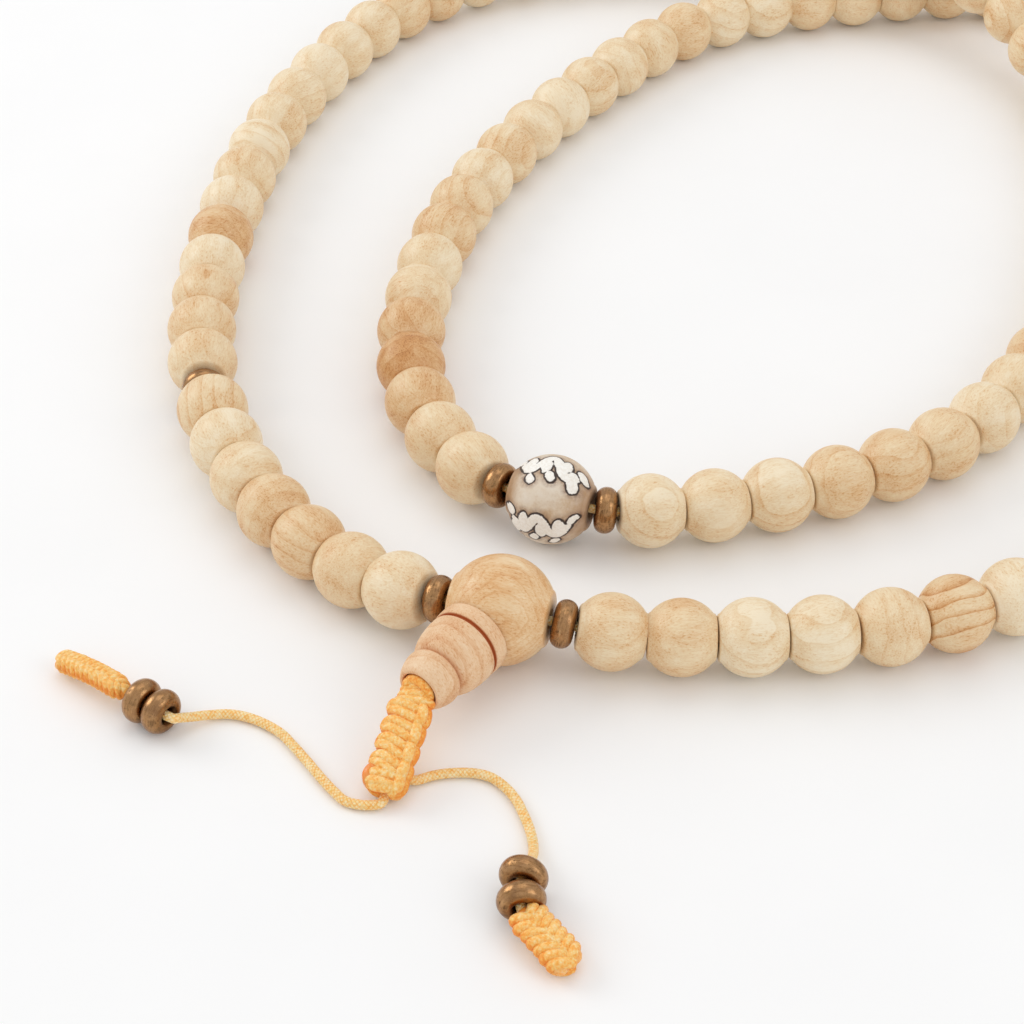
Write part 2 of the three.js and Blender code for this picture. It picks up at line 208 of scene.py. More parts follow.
def add_ring(rings, weave, centre, radius, side, way, angle, squash, far):
    """One ring of a tube, square to its way, with its place in the weave."""
    up = np.cross(side, way)
    rings.append(centre + radius * (squash[0] * np.cos(angle) * side + squash[1] * np.sin(angle) * up))
    weave.append(np.hstack([np.cos(angle), np.sin(angle), np.full_like(angle, far)]))


def tube(path, radius, sides=14, squash=(1, 1)):
    """A round cord along a path with domed ends. It carries its weave: round it, and along it in mm."""
    path = np.asarray(path, float)
    tangent = np.gradient(path, axis=0)
    tangent /= np.linalg.norm(tangent, axis=1)[:, None]
    side = np.cross(tangent[0], UP if abs(tangent[0][2]) < 0.9 else [1, 0, 0])
    angle = np.linspace(0, TURN, sides, endpoint=False)[:, None]
    along = distances(path)
    dome = np.radians([8, 35, 62])
    ends = {0: (-1, dome), len(path) - 1: (1, dome[::-1])}
    rings, weave = [], []
    for k, centre in enumerate(path):
        way = tangent[k]
        side = unit(side - side @ way * way)
        sign, lifts = ends.get(k, (0, []))
        caps = [(centre + sign * way * radius * math.cos(a), radius * math.sin(a)) for a in lifts]
        body = [(centre, radius)]
        for at, r in caps + body if k == 0 else body + caps:
            add_ring(rings, weave, at, r, side, way, angle, squash, along[k])
    count = len(rings)
    verts = np.vstack([*rings, rings[0].mean(0), rings[-1].mean(0)])
    turn = np.arange(sides)
    after = (turn + 1) % sides
    last = (count - 1) * sides
    first_pole, last_pole = np.full(sides, count * sides), np.full(sides, count * sides + 1)
    first_cap = np.stack([after, turn, first_pole, first_pole], -1)
    last_cap = np.stack([last + turn, last + after, last_pole, last_pole], -1)
    weave = np.vstack([*weave, [(1, 0, along[0])], [(1, 0, along[-1])]])
    return shape(verts, np.vstack([grid_faces(count, sides), first_cap, last_cap]), weave=weave)


def joined(shapes):
    counts = np.concatenate([[0], np.cumsum([len(s["verts"]) for s in shapes])])
    faces = np.vstack([s["faces"] + first for s, first in zip(shapes, counts)])
    values = {k: np.concatenate([s["values"][k] for s in shapes]) for k in shapes[0]["values"]}
    return shape(np.vstack([s["verts"] for s in shapes]), faces, **values)


def placed(made, axes, centre):
    return shape(made["verts"] @ axes.T + centre, made["faces"], **made["values"])


def about_y(angle):
    c, s = math.cos(angle), math.sin(angle)
    return np.array([[c, 0, s], [0, 1, 0], [-s, 0, c]])


def about_z(angle):
    c, s = math.cos(angle), math.sin(angle)
    return np.array([[c, -s, 0], [s, c, 0], [0, 0, 1]])


def with_timber(made, tone, along_bore=True, ring_distance=30.0, figured=0.2, turn=None):
    """Notes where each vertex lay in the plank that the piece was turned from, in mm, Z with the grain."""
    tilt, any_turn = chance.normal(0, 0.16), chance.uniform(0, TURN)
    turn = any_turn if turn is None else turn
    lean = tilt if along_bore else QUARTER + tilt
    rotate = about_y(lean) @ about_z(turn)
    pith, aside, lengthways = chance.uniform(-6, 6), chance.uniform(-3, 3), chance.uniform(-200, 200)
    made["values"]["timber"] = made["verts"] @ rotate.T + np.array([ring_distance + pith, aside, lengthways])
    made["values"]["tone"] = np.full(len(made["verts"]), tone)
    made["values"]["figured"] = np.full(len(made["verts"]), figured)
    return made


def piece(name, made, material, body, replaces, crease=50):
    """The shape as a Blender mesh that rides on its CAD body and stands for its CAD nodes."""
    faces = [tuple(dict.fromkeys(f)) for f in made["faces"].tolist()]
    mesh = bpy.data.meshes.new(name)
    mesh.from_pydata(in_frame(made["verts"]).tolist(), [], faces)
    for key, value in made["values"].items():
        value = np.asarray(value, np.float32)
        kind, field = ("FLOAT_VECTOR", "vector") if value.ndim == 2 else ("FLOAT", "value")
        mesh.attributes.new(key, kind, "POINT").data.foreach_set(field, value.ravel())
    edit = bmesh.new()
    edit.from_mesh(mesh)
    bmesh.ops.recalc_face_normals(edit, faces=edit.faces)
    edit.to_mesh(mesh)
    edit.free()
    mesh.shade_smooth()
    mesh.set_sharp_from_angle(angle=math.radians(crease))
    mesh.materials.append(material)
    made_object = bpy.data.objects.new(name, mesh)
    bpy.context.scene.collection.objects.link(made_object)
    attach(made_object, body)
    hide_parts(*replaces)
    return made_object


# ---- materials ----
def srgb(code):
    """A colour written as six hex digits, as the linear value a shader takes."""
    parts = [int(code[k:k + 2], 16) / 255 for k in (0, 2, 4)]
    return (*[p / 12.92 if p <= 0.04045 else ((p + 0.055) / 1.055) ** 2.4 for p in parts], 1)


class Recipe:
    """A material's nodes, made with short calls. Each call returns the socket it ends in."""

    def __init__(self, name, **shader):
        self.material = bpy.data.materials.new(name)
        self.material.use_nodes = True
        self.tree = self.material.node_tree
        self.shader = self.tree.nodes["Principled BSDF"]
        self.set(**shader)

    def set(self, **shader):
        for key, value in shader.items():
            self.give(self.shader.inputs[key.replace("_", " ")], value)

    def give(self, socket, value):
        if isinstance(value, bpy.types.NodeSocket):
            self.tree.links.new(value, socket)
        else:
            socket.default_value = value

    def node(self, kind, inputs, output=0, **settings):
        made = self.tree.nodes.new("ShaderNode" + kind)
        for key, value in settings.items():
            setattr(made, key, value)
        for key, value in inputs.items():
            self.give(made.inputs[key], value)
        return made.outputs[output]

    def math(self, operation, *values):
        return self.node("Math", dict(enumerate(values)), operation=operation)

    def held(self, name, output="Fac"):
        """A value that the mesh holds at each vertex."""
        return self.node("Attribute", {}, output, attribute_name=name)

    def noise(self, place, scale, detail=2.0, roughness=0.5):
        wanted = {"Vector": place, "Scale": scale, "Detail": detail, "Roughness": roughness}
        return self.node("TexNoise", wanted)

    def stretched(self, place, factors):
        return self.node("VectorMath", {0: place, 1: factors}, operation="MULTIPLY")

    def span(self, value, low, high, to_low=0.0, to_high=1.0):
        """The value moved from one span to another, and held within it."""
        wanted = {"Value": value, "From Min": low, "From Max": high, "To Min": to_low, "To Max": to_high}
        return self.node("MapRange", wanted)

    def mix(self, factor, a, b):
        return self.node("Mix", {0: factor, 6: a, 7: b}, 2, data_type="RGBA")

    def ramp(self, value, stops):
        """stops is [(position, colour code)]."""
        made = self.tree.nodes.new("ShaderNodeValToRGB")
        elements = made.color_ramp.elements
        while len(elements) < len(stops):
            elements.new(1)
        for element, (position, code) in zip(elements, stops):
            element.position = position
            element.color = srgb(code)
        self.give(made.inputs[0], value)
        return made.outputs[0]

    def bump(self, height, distance, strength):
        """distance is in millimetres."""
        return self.node("Bump", {"Height": height, "Distance": distance * MM, "Strength": strength})


def wood(name, stops, ring_gap, roughness, speckle):
    """Turned hardwood: growth rings round a far-off pith, fibres and pores drawn out along the grain."""
    r = Recipe(name, Specular_IOR_Level=0.5)
    place = r.held("timber", "Vector")
    x, y = (r.node("SeparateXYZ", {0: place}, k) for k in (0, 1))
    wobble = r.noise(r.stretched(place, (0.16, 0.16, 0.05)), 1.0, 2)
    out = r.math("SQRT", r.math("ADD", r.math("MULTIPLY", x, x), r.math("MULTIPLY", y, y)))
    out = r.math("ADD", out, r.math("MULTIPLY", wobble, 4.0))
    ring = r.math("FRACT", r.math("DIVIDE", out, ring_gap))
    late = r.math("MULTIPLY", r.span(ring, 0.35, 0.93), r.span(ring, 1.0, 0.94))
    late = r.math("MULTIPLY", r.math("POWER", late, 2.6), r.held("figured"))
    mottle = r.noise(r.stretched(place, (0.34, 0.34, 0.14)), 1.0, 3, 0.6)
    fibre = r.noise(r.stretched(place, (5.5, 5.5, 0.7)), 1.0, 3, 0.65)
    pores = r.noise(r.stretched(place, (4.6, 4.6, 1.9)), 1.0, 2, 0.65)
    pore = r.math("MULTIPLY", r.span(pores, 0.53, 0.68), r.span(mottle, 0.35, 0.6, 0.35, 1.0))
    amount = r.math("ADD", r.held("tone"), r.math("MULTIPLY", r.span(mottle, 0.3, 0.7, -0.5, 0.5), 0.3))
    amount = r.math("ADD", amount, late)
    amount = r.math("ADD", amount, r.math("MULTIPLY", r.span(fibre, 0.3, 0.7, -0.5, 0.5), 0.22))
    amount = r.math("ADD", amount, r.math("MULTIPLY", pore, speckle))
    # This value mixes in burnt orange: on the tower it marks the real burnt groove, and also painted shade
    # inside the mouth and in the crease.
    colour = r.mix(r.held("burnt"), r.ramp(amount, stops), srgb("b65c26"))
    rough = r.span(fibre, 0.25, 0.75, roughness - 0.05, roughness + 0.07)
    dents = r.math("ADD", r.math("MULTIPLY", fibre, 0.6), r.math("MULTIPLY", pore, -0.5))
    r.set(Base_Color=colour, Roughness=rough, Normal=r.bump(dents, 0.03, 0.5))
    return r.material


PALE_WOOD = [(0.0, "f2e2c4"), (0.22, "e9d0a8"), (0.45, "dfb888"), (0.7, "cc9459"), (1.0, "a96a34")]
TAN_WOOD = [(0.0, "f0d9b4"), (0.22, "e7c496"), (0.45, "dcaa72"), (0.7, "c88a4e"), (1.0, "a0622c")]
BARE_WOOD = [(0.0, "f0d4b2"), (0.25, "e6be94"), (0.5, "daa677"), (0.75, "c88553"), (1.0, "a8622f")]
bead_wood = wood("bead_wood", PALE_WOOD, 2.1, 0.42, 0.3)
guru_wood = wood("guru_wood", TAN_WOOD, 0.8, 0.36, 0.28)
tower_wood = wood("tower_wood", BARE_WOOD, 2.4, 0.62, 0.34)


def antique_bronze():
    """Worn bronze: lighter gold on the rim, from wear and a painted highlight, patchy brown, with black
    patina in the dish and in fine pits.
    """
    r = Recipe("antique_bronze", Metallic=1.0)
    place = r.node("TexCoord", {}, "Object")
    blotch = r.noise(place, 700.0, 4, 0.65)
    grit = r.noise(place, 5200.0, 3, 0.7)
    brushed = r.noise(r.held("lathe", "Vector"), 1.0, 3, 0.7)
    metal = r.mix(r.span(blotch, 0.35, 0.65), srgb("7b5434"), srgb("b08353"))
    # Wear and painted highlight: the rim is mixed toward pale gold along the brushed marks.
    rim_wear_and_highlight = r.math("MULTIPLY", r.span(brushed, 0.3, 0.8), r.span(r.held("rim"), 0.0, 0.6))
    metal = r.mix(r.math("MULTIPLY", rim_wear_and_highlight, 0.6), metal, srgb("dcb083"))
    dark = r.math("MULTIPLY", r.span(blotch, 0.54, 0.62), r.span(brushed, 0.7, 0.3))
    dark = r.math("MAXIMUM", dark, r.math("MULTIPLY", r.span(grit, 0.58, 0.68), 0.6))
    dark = r.math("MAXIMUM", dark, r.math("MULTIPLY", r.held("recess"), 0.75))
    colour = r.mix(r.math("MULTIPLY", dark, 0.85), metal, srgb("33241c"))
    rough = r.span(dark, 0.0, 1.0, 0.24, 0.55)
    r.set(Base_Color=colour, Roughness=rough, Normal=r.bump(r.math("ADD", grit, blotch), 0.03, 0.4))
    return r.material


def braided_cord():
    """Nylon cord: two sets of strands crossing on the slant, with painted shade in deeper orange between
    them.
    """
    r = Recipe("braided_cord", Sheen_Weight=0.15, Sheen_Roughness=0.4)
    r.set(Subsurface_Weight=0.12, Subsurface_Scale=0.6 * MM)
    r.shader.inputs["Subsurface Radius"].default_value = (1.0, 0.5, 0.15)
    weave = r.held("weave", "Vector")
    cosine, sine, along = (r.node("SeparateXYZ", {0: weave}, k) for k in range(3))
    turn = r.math("MULTIPLY", r.math("ARCTAN2", sine, cosine), 3.0)
    run = r.math("MULTIPLY", along, math.pi / WEAVE_PITCH)
    one = r.math("ABSOLUTE", r.math("SINE", r.math("ADD", run, turn)))
    other = r.math("ABSOLUTE", r.math("SINE", r.math("SUBTRACT", run, turn)))
    crown = r.math("POWER", r.math("MULTIPLY", one, other), 0.5)
    place = r.node("TexCoord", {}, "Object")
    fibre = r.noise(place, 5200.0, 3, 0.7)
    patch = r.noise(place, 900.0, 2)
    tuft = r.noise(place, 2300.0, 2, 0.6)
    plait = r.held("plait")
    # Painted light and shade: the weave's crowns are made paler and the gaps between strands deeper orange.
    depth = r.math("MULTIPLY", r.math("MULTIPLY", crown, plait), 0.4)
    depth = r.math("ADD", depth, r.math("MULTIPLY", r.span(fibre, 0.3, 0.7), 0.24))
    depth = r.math("ADD", depth, r.math("MULTIPLY", r.span(tuft, 0.32, 0.68), 0.42))
    depth = r.math("ADD", depth, r.math("MULTIPLY", r.span(patch, 0.3, 0.7, -0.5, 0.5), 0.2))
    # Painted shade: cord lying deep in a knot, and the cores, are darker orange.
    depth = r.math("SUBTRACT", depth, r.math("MULTIPLY", r.held("deep"), 0.7))
    colour = r.ramp(depth, [(0.0, "f2922c"), (0.22, "fab04c"), (0.48, "fccc7c"), (0.85, "ffeaba")])
    fluff = r.math("MULTIPLY", r.math("ADD", fibre, tuft), 0.4)
    height = r.math("ADD", r.math("MULTIPLY", crown, plait), fluff)
    melted = r.held("melted")
    colour = r.mix(r.math("MULTIPLY", melted, 0.8), colour, srgb("ee7d22"))
    rough = r.span(melted, 0.0, 1.0, 0.62, 0.22)
    woven = r.math("MULTIPLY", height, r.math("SUBTRACT", 1.0, melted))
    r.set(Base_Color=colour, Roughness=rough, Normal=r.bump(woven, 0.09, 0.8))
    return r.material


def inlaid_bone():
    """Smoke-brown bone round raised pale figures, darkest right beside them."""
    r = Recipe("inlaid_bone", Specular_IOR_Level=0.5)
    place = r.node("TexCoord", {}, "Object")
    edge = r.held("figure")  # mm outside the nearest figure, negative on it
    unsteady = r.span(r.noise(place, 1500.0, 3), 0.3, 0.7, -1, 1)
    ragged = r.math("ADD", edge, r.math("MULTIPLY", unsteady, 0.09))
    cloud = r.noise(place, 260.0, 4, 0.6)
    grain = r.noise(place, 3000.0, 3, 0.7)
    mottle = r.math("ADD", r.math("MULTIPLY", cloud, 0.85), r.math("MULTIPLY", grain, 0.2))
    base = r.ramp(mottle, [(0.3, "b28e68"), (0.45, "cdb394"), (0.6, "dfd0bc"), (0.8, "eae1d4")])
    base = r.mix(r.math("MULTIPLY", r.held("shoulder"), 0.7), base, srgb("a67b52"))
    smoke = r.math("MULTIPLY", r.span(ragged, 1.0, 0.1), r.span(grain, 0.3, 0.62))
    base = r.mix(smoke, base, srgb("80563a"))
    base = r.mix(r.span(ragged, 0.3, 0.2), base, srgb("372720"))
    white = r.mix(r.span(grain, 0.4, 0.75), srgb("fbf8f2"), srgb("ece4d8"))
    colour = r.mix(r.span(ragged, 0.03, -0.03), base, white)
    height = r.math("ADD", r.span(edge, 0.12, -0.1), r.math("MULTIPLY", grain, 0.12))
    rough = r.span(cloud, 0.3, 0.7, 0.42, 0.55)
    r.set(Base_Color=colour, Roughness=rough, Normal=r.bump(height, 0.12, 0.5))
    return r.material


bronze = antique_bronze()
cord = braided_cord()
bone = inlaid_bone()

# ---- camera: 40 degrees below the horizontal ----
camera = bpy.data.objects.new("camera", bpy.data.cameras.new("camera"))
camera.data.lens = 81.35
camera.data.sensor_width = 36
camera.data.clip_start = 0.005
camera.location = in_frame((1.4, -212.5, 200.9))
camera.rotation_euler = (math.radians(50), 0, 0)
bpy.context.scene.collection.objects.link(camera)
bpy.context.scene.camera = camera


# ---- cords ----
def corded(made, deep=0.0, melted=0.0, plait=0.35):
    """Every corded shape says how deep it lies in its knot, which darkens it with painted shade, how melted
    it is and how its plait shows.
    """
    for key, value in (("plait", plait), ("deep", deep), ("melted", melted)):
        made["values"][key] = np.full(len(made["verts"]), value)
    return made


def tail_cord(side, route, knot_way):
    """A free cord from inside the knot, through its two saucers, to inside its braided end."""
    path = spline([np.add(route[0], knot_way), *route], 6)
    made = corded(tube(path, CORD_RADIUS, 20), plait=1.0)
    made = piece("tail_" + side, made, cord, "tail", ["tail_cord_" + side])


def saucer(node, centre, direction, radius):
    """A bronze rondelle: a rounded rim, and faces dished round the hole."""
    half = SPACER_HALF
    curve = np.radians(np.arange(-80, 81, 8))
    rim = [(radius - 1.2 + 1.2 * math.cos(a), (half - 0.06) * math.sin(a)) for a in curve]
    dish = [(radius * 0.52, half), (radius * 0.44, half - 0.1)]
    dish += [(SPACER_BORE + 0.12, half - 0.3), (SPACER_BORE, half - 0.42)]
    outline = [(r, -z) for r, z in reversed(dish)] + rim + dish
    made = turned(outline, 48)
    x, y, z = made["verts"].T
    out = np.hypot(x, y)
    around = np.arctan2(y, x)
    lathe = [np.cos(around) * 2.2, np.sin(around) * 2.2, z * 9 + out * 9]  # marks drawn out round the rim
    made["values"]["rim"] = np.clip((out - radius * 0.72) / (radius * 0.28), 0, 1)
    made["values"]["lathe"] = np.stack(lathe, -1) + chance.uniform(0, 90)
    made["values"]["recess"] = np.clip((radius * 0.56 - out) / (radius * 0.16), 0, 1)
    made = placed(made, frame_along(direction), centre)
    piece("saucer_" + node, made, bronze, node, [node])


for place, (centre, start, end) in TAIL_SPACERS.items():
    saucer("tail_spacer_" + place, centre, np.subtract(end, start), TAIL_SPACER_RADIUS)


def bar(points, radius, seam_height, sides=12):
    """One turn of cord in a knot, darkened with painted shade where it goes down between its neighbours."""
    made = corded(tube(spline(points, 6), radius, sides))
    inside = seam_height - np.abs(made["verts"][:, 2])
    made["values"]["deep"] = np.clip(inside / seam_height, 0, 1) ** 1.6 * 0.75
    return made


def braided_end(side_name, ends, width, height, pitch, seam, opening, start, bow):
    """A tail's braided end: two columns of slanting turns that meet in a seam, melted at the tip.

    opening is how much of its full width it has where it starts by the saucer, bow how far it arches up.
    """
    length = np.linalg.norm(ends[1] - ends[0])
    radius = pitch * 0.6
    count = int((length - 0.5 - start) / pitch)
    parts = []
    for n in range(count):
        y = start + (n + 0.5) * (length - 0.75 - start) / count
        slim = min(1.0, opening + 0.42 * n * pitch) * chance.uniform(0.97, 1.03)
        top = (height / 2 - radius) * min(1, slim + 0.1)
        for side in (-1, 1):
            edge = side * (width / 2 * slim - radius * 0.9)
            middle = seam * slim
            reach = edge - middle
            lag = 0.35 * pitch * side
            across = [(-0.02, 0.62, 0.8), (0.3, 0.42, 1.06), (0.7, 0.0, 0.95), (1.0, -0.3, 0.0)]
            upper = [(middle + f * reach, y + lag * 0.5 + s * pitch, h * top) for f, s, h in across]
            lower = [(x, along, -z) for x, along, z in reversed(upper[:-1])]
            parts.append(bar([*upper, *lower], radius, height / 2))
    core = [(seam * 0.5, y, 0) for y in np.linspace(start + 0.4, length - 0.9, 12)]
    # The core shows only in the gaps and is darkened all over as painted shade.
    parts.append(corded(tube(core, (height / 2 - 0.35) * 0.85, 14), deep=1.0))
    for side in (-1, 1):
        cap = [(side * width * 0.2, length - 1.5, 0), (side * width * 0.2, length - 1.1 + 0.12 * side, 0)]
        parts.append(corded(tube(cap, height / 2 - 0.3, 20, squash=(1.0, 0.9)), melted=0.35))
    made = joined(parts)
    made["verts"][:, 2] += bow * np.sin(math.pi * np.clip(made["verts"][:, 1] / length, 0, 1))
    made = placed(made, flat_frame(ends[1] - ends[0]), ends[0])
    piece("braid_end_" + side_name, made, cord, "tail", ["tail_end_" + side_name])


braided_end("left", LEFT_END, 3.2, 2.5, 0.82, -0.35, 0.45, 0.15, 0.6)
braided_end("right", RIGHT_END, 4.9, 2.7, 1.15, 0.0, 0.86, -0.95, 0.15)
tail_cord("left", LEFT_TAIL, (0.55, 1.15, 0.5))
tail_cord("right", RIGHT_TAIL, (-1.2, 0.2, 0.5))


def square_knot(seam_y, out_y):
    """One square knot: a fat double turn to the right on each face, and upright loops on the left."""
    mid_y = (seam_y + out_y) / 2
    centres = (seam_y, mid_y, out_y, out_y)
    loop = [(-1.15, -1.2, 0.35), (-1.5, -0.8, 0.85), (-1.62, 0, 1.02), (-1.5, 0.8, 0.85), (-1.15, 1.2, 0.35)]
    edge = [(-1.4, -1.2, 0), (-1.9, -0.65, 0), (-2.02, 0, 0), (-1.9, 0.65, 0), (-1.4, 1.2, 0)]
    half = [
        (-0.75, seam_y - 0.6, 0.82), (0.3, mid_y - 0.56, 1.04), (1.35, out_y - 0.5, 1.0),
        (1.98, out_y - 0.34, 0.52),
    ]
    back = [(x, 2 * middle - y, z) for middle, (x, y, z) in zip(centres, half)]
    turn = [*half, (2.14, out_y, 0.2), *reversed(back)]
    parts = []
    for face in (-1, 1):
        parts.append(bar([(x, y, z * face) for x, y, z in turn], 0.7, 1.7))
        parts.append(bar([(x, seam_y + y, z * face) for x, y, z in loop], 0.68, 1.6))
    parts.append(bar([(x, seam_y + y, z) for x, y, z in edge], 0.68, 1.6))
    return parts


def knot_ends(end):
    """The wraps over the first knot, the turns that close the last one, and its core."""
    angles = np.radians(np.arange(0, 331, 30))
    parts = []
    for y, reach in ((-2.1, 1.45), (-1.2, 1.6), (-0.35, 1.85)):
        wrap = [(reach * math.cos(a), y + 0.25 * math.cos(a), 0.95 * math.sin(a)) for a in angles]
        parts.append(bar(wrap, 0.64, 1.5))
    close = [
        (-1.8, end - 0.6, 0.3), (-1.0, end - 0.15, 0.75), (0.1, end + 0.1, 0.9), (1.2, end, 0.75),
        (1.9, end - 0.55, 0.3),
    ]
    for face in (-1, 1):
        parts.append(bar([(x, y, z * face) for x, y, z in close], 0.66, 1.5))
    core = [(0.05, y, 0) for y in np.linspace(-2.6, end - 0.6, 16)]
    # The core shows only in the gaps and is darkened all over as painted shade.
    parts.append(corded(tube(core, 1.0, 14, squash=(1.55, 1)), deep=1.0))
    blob = [(1.85, 9.0, 0.55), (2.1, 9.8, 0.62), (1.9, 10.5, 0.5)]
    parts.append(corded(tube(spline(blob, 4), 0.8, 14), melted=1.0))
    return parts


def mouth_collar():
    """The turn of cord that fills the tower's mouth, as round as the mouth, a little darkened with painted
    shade.
    """
    turns = np.radians(np.arange(0, 391, 30))
    ring = [(1.56 * math.cos(a), 1.56 * math.sin(a), -0.3 + 0.08 * a) for a in turns]
    return placed(corded(tube(spline(ring, 6), 0.68, 14), deep=0.25), frame_along(tower_axis), TOWER_MOUTH)


def sliding_knot():
    """Five square knots tied round the stem, slightly uneven, with their cut end melted to a blob."""
    pitch, rows, end, last_seam = 2.36, 5, 11.1, 10.2
    parts = []
    for n in range(rows):
        out_y = 0.75 + pitch * n + chance.uniform(-0.12, 0.12)
        seam_y = min(1.3 + (pitch + 0.12) * n, last_seam) + chance.uniform(-0.1, 0.1)
        parts += square_knot(seam_y, out_y)
    made = joined(parts + knot_ends(end))
    x, y, z = made["verts"].T
    made["verts"][:, 0] = x * 1.04 + 0.05 + 0.03 * y + 0.05 * np.sin(2.1 * y + 1.3 * z)
    made["verts"][:, 2] = z + 0.04 * np.sin(1.7 * y + 2.2 * x)
    made = joined([placed(made, flat_frame(knot_axis), KNOT_START), mouth_collar()])
    piece("square_knots", made, cord, "tail", ["sliding_knot"])


sliding_knot()


def twin_cords(name, start, end, body, node):
    """The strand's two ends, side by side."""
    across = frame_along(end - start)[:, 0]
    line = np.linspace(start, end, 12)
    pair = [corded(tube(line + 0.42 * side * across, 0.43, 12)) for side in (-1, 1)]
    piece(name, joined(pair), cord, body, [node])


in_guru, at_mouth = GURU + 2.2 * tower_axis, TOWER_MOUTH - 0.1 * tower_axis
in_mouth, in_knot = TOWER_MOUTH - 0.3 * tower_axis, KNOT_START + 6 * knot_axis
twin_cords("stem_in_tower", in_guru, at_mouth, "tower_stem", "tower_cord")
twin_cords("stem_in_knot", in_mouth, in_knot, "knot_stem", "knot_cord")

# ---- the strand ----
middle_beads = BEADS_PER_HALF - 2 * SINGLES
first = thread_half(
    GURU, FIRST_HALF, MARKER,
    [
        SPACER_PITCH, *[SHORT_PITCH] * SINGLES, SPACER_PITCH, *[CLOSE_PITCH] * CLOSE_BEADS,
        *[None] * (middle_beads - CLOSE_BEADS), *[OPEN_PITCH] * SINGLES, SPACER_PITCH,
    ],
    (GURU_HALF_PITCH, MARKER_HALF_PITCH),
)
second = thread_half(
    MARKER, SECOND_HALF, GURU,
    [
        SPACER_PITCH, *[None] * (SINGLES + middle_beads), SPACER_PITCH, *[OPEN_PITCH] * SINGLES,
        SPACER_PITCH,
    ],
    (MARKER_HALF_PITCH, GURU_HALF_PITCH),
)
guru_across = unit(first[0] - second[-1])
strand_path = np.vstack([GURU + 2 * guru_across, first, second, GURU - 2 * guru_across])
strand = corded(tube(strand_path, CORD_RADIUS, 14), plait=1.0)
piece("strand_braid", strand, cord, "strand", ["strand_cord"])


def ball_outline(radius, half, reach, bore, steps=26):
    """A ball whose poles are cut flat at this half length and rounded over, then its bore.

    reach is where the uncut poles would be: the radius for a true sphere, less for a squatter bead.
    """
    corner = 0.42
    high = np.linspace(-(half - corner), half - corner, steps)
    out = radius * np.sqrt(1 - (high / reach) ** 2)
    rounded = [
        (out[-1] - corner * (0.55 * t + 0.75 * t * t), half - corner * (1 - t) ** 1.6)
        for t in (0.25, 0.5, 0.75, 1)
    ]
    side = [*[(r, -z) for r, z in reversed(rounded)], *zip(out, high), *rounded]
    return [(bore, -half + 0.25), (bore + 0.18, -half), *side, (bore + 0.18, half), (bore, half - 0.25)]


# How tan a few marked beads are, and how strongly their rings show; the rest are left to chance.
TONES = {3: 0.36, 4: 0.34, 8: 0.2, 12: 0.44, 57: 0.4, 58: 0.6, 59: 0.42, 55: 0.22, 56: 0.24, 103: 0.3}
FIGURED = {103: 0.42, 52: 0.24, 7: 0.22}


def row_of(number):
    """The CAD row that a bead belongs to, or None where it stands alone."""
    in_half = number if number <= BEADS_PER_HALF else 2 * BEADS_PER_HALF + 1 - number
    if in_half <= SINGLES or in_half > BEADS_PER_HALF - SINGLES:
        return None
    start = SINGLES + 1 if number <= BEADS_PER_HALF else BEADS_PER_HALF + SINGLES + 1
    opening = start + (number - start) // ROW * ROW
    return f"beads_{opening:03d}_{opening + ROW - 1:03d}"


def wooden_bead(number, start, end):
    size = BEAD_RADIUS * chance.uniform(0.985, 1)
    outline = ball_outline(size, np.linalg.norm(end - start) / 2 - 0.05, chance.uniform(4.85, 5.05), BORE)
    tone = TONES.get(number, chance.uniform(0.06, 0.3))
    figured = FIGURED.get(number, chance.uniform(0.04, 0.2))
    made = with_timber(turned(outline, 48), tone, chance.random() < 0.65, figured=figured)
    made = placed(made, frame_along(end - start), (start + end) / 2)
    name = f"bead_{number:03d}"
    row = row_of(number)
    body, node = ("strand", row) if row else (name, name)
    piece("wooden_" + name, made, bead_wood, body, [node])


def spacer(name, start, end):
    """A strand saucer. The ones after the seventh bead hang a little off the cord's line."""
    hang = np.array([-0.3, 0, -0.42]) if "seventh" in name else 0
    saucer(name, (start + end) / 2 + hang, end - start, SPACER_RADIUS)


halves = [
    (first, 1, {0: "spacer_guru_left", 8: "spacer_seventh_left", 56: "spacer_marker_right"}),
    (second, 55, {0: "spacer_marker_left", 48: "spacer_seventh_right", 56: "spacer_guru_right"}),
]
for joints, number, spacers in halves:
    for k, (start, end) in enumerate(zip(joints, joints[1:])):
        if k in spacers:
            spacer(spacers[k], start, end)
        else:
            wooden_bead(number, start, end)
            number += 1


# ---- guru bead and tower bead ----
def drill(radius, depth):
    """A cylinder that starts at the guru bead's centre and points out along the tower."""
    edit = bmesh.new()
    bmesh.ops.create_cone(edit, cap_ends=True, segments=40, radius1=radius, radius2=radius, depth=depth)
    axes = frame_along(tower_axis)
    centre = in_frame(GURU) + tower_axis * depth / 2
    for vert in edit.verts:
        vert.co = (axes @ np.array(vert.co) + centre).tolist()
    bmesh.ops.recalc_face_normals(edit, faces=edit.faces)
    mesh = bpy.data.meshes.new("drill")
    edit.to_mesh(mesh)
    edit.free()
    made = bpy.data.objects.new("drill", mesh)
    bpy.context.scene.collection.objects.link(made)
    return made


def cut_third_hole(bead):
    """Bores the guru bead from its side for the two cord ends."""
    cutter = drill(THIRD_HOLE * MM, 8 * MM)
    cut = bead.modifiers.new("third_hole", "BOOLEAN")
    cut.operation = "DIFFERENCE"
    cut.object = cutter
    cut.solver = "EXACT"
    bpy.context.view_layer.update()
    bored = bpy.data.meshes.new_from_object(bead.evaluated_get(bpy.context.evaluated_depsgraph_get()))
    bead.modifiers.clear()
    bead.data = bored
    bpy.data.objects.remove(cutter)


